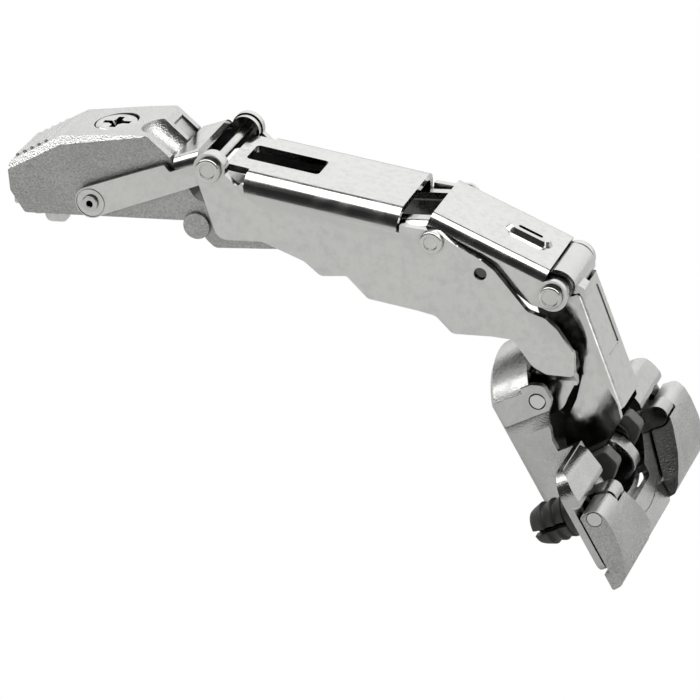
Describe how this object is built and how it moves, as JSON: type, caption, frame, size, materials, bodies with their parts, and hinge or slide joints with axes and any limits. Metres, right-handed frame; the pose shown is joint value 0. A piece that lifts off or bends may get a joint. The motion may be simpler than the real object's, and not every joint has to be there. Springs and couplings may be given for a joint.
{
  "type": "concealed cabinet hinge",
  "caption": "Wide-angle concealed cabinet hinge, shown fully open: cast arm, folded sheet links, round cup with flange and fold-down fixing levers.",
  "frame": {"origin": "on the arm's underside plane, at the foot of the cross-recess screw's axis, on the hinge's mid-plane", "axes": "+X along the arm towards the cup, +Z out of the arm's top, +Y to the far side"},
  "size_m": [0.1194, 0.0556, 0.0746],
  "materials": {
    "nickel_sheet": "satin plated",
    "cast_metal": "fine cast grain, plated",
    "rivet_steel": "bright plated",
    "dark_plastic": "satin",
    "spring_steel": "drawn wire",
    "grey_plastic": "satin"
  },
  "bodies": {
    "arm": {"arm_casting": "cast_metal", "clip_carriage": "nickel_sheet", "clip_pin": "rivet_steel", "clip_spring": "spring_steel", "rear_rivets": "rivet_steel", "nose_pin": "rivet_steel"},
    "screw": {"adjusting_screw": "rivet_steel"},
    "clip": {"clip_lever": "nickel_sheet"},
    "rear_link_body": {"rear_link": "nickel_sheet"},
    "channel": {"main_channel": "nickel_sheet", "top_rivet": "rivet_steel", "crossing_rivet": "rivet_steel"},
    "lever": {"front_lever": "nickel_sheet", "knuckle_rivet": "rivet_steel", "knuckle_spacers": "rivet_steel"},
    "cup_link_body": {"cup_link": "nickel_sheet", "knuckle_cover": "nickel_sheet", "foot_pin": "rivet_steel", "spring_leaf": "spring_steel"},
    "cup": {"cup_casting": "cast_metal", "cup_rivet": "rivet_steel", "stop_blocks": "grey_plastic", "closing_springs": "spring_steel", "lever_pins": "rivet_steel", "dowel_near": "dark_plastic", "dowel_far": "dark_plastic", "expanders": "rivet_steel"},
    "near_fixing": {"fixing_lever_near": "cast_metal"},
    "far_fixing": {"fixing_lever_far": "cast_metal"}
  },
  "joints": [
    {"name": "fold", "type": "hinge", "parent": "arm", "child": "rear_link_body", "pos_m": [-0.00285, 0, 0.0032], "axis": [0, -1, 0], "range_deg": [0, 113.5]},
    {"name": "channel_fold", "type": "hinge", "parent": "rear_link_body", "child": "channel", "pos_m": [0.0215, 0, 0.0114], "axis": [0, -1, 0], "range_deg": [-97.1, 0]},
    {"name": "lever_fold", "type": "hinge", "parent": "channel", "child": "lever", "pos_m": [0.06245, 0, -0.0003], "axis": [0, -1, 0], "range_deg": [0, 103.6]},
    {"name": "link_fold", "type": "hinge", "parent": "lever", "child": "cup_link_body", "pos_m": [0.0833, 0, -0.0103], "axis": [0, -1, 0], "range_deg": [-85.6, 0]},
    {"name": "cup_fold", "type": "hinge", "parent": "channel", "child": "cup", "pos_m": [0.0805, 0, -0.0293], "axis": [0, -1, 0], "range_deg": [0, 138.6]},
    {"name": "screw_turn", "type": "hinge", "parent": "arm", "child": "screw", "pos_m": [0, 0, 0.0154], "axis": [0, 0, 1], "range_deg": [-180, 180]},
    {"name": "clip_swing", "type": "hinge", "parent": "arm", "child": "clip", "pos_m": [-0.0126, 0, 0.0044], "axis": [0, 1, 0], "range_deg": [0, 9], "stiffness_Nm_per_rad": 0.01, "springref_deg": -5.73},
    {"name": "near_fixing_swing", "type": "hinge", "parent": "cup", "child": "near_fixing", "pos_m": [0.09419, 0, -0.04437], "axis": [0, -1, 0], "range_deg": [0, 68]},
    {"name": "far_fixing_swing", "type": "hinge", "parent": "cup", "child": "far_fixing", "pos_m": [0.09419, 0, -0.04437], "axis": [0, -1, 0], "range_deg": [0, 68]}
  ],
  "couplings": [
    {"joint": "channel_fold", "follows": "fold", "ratio": -0.8546},
    {"joint": "lever_fold", "follows": "fold", "ratio": 0.9119},
    {"joint": "link_fold", "follows": "fold", "ratio": -0.7533},
    {"joint": "cup_fold", "follows": "fold", "ratio": 1.2203}
  ]
}
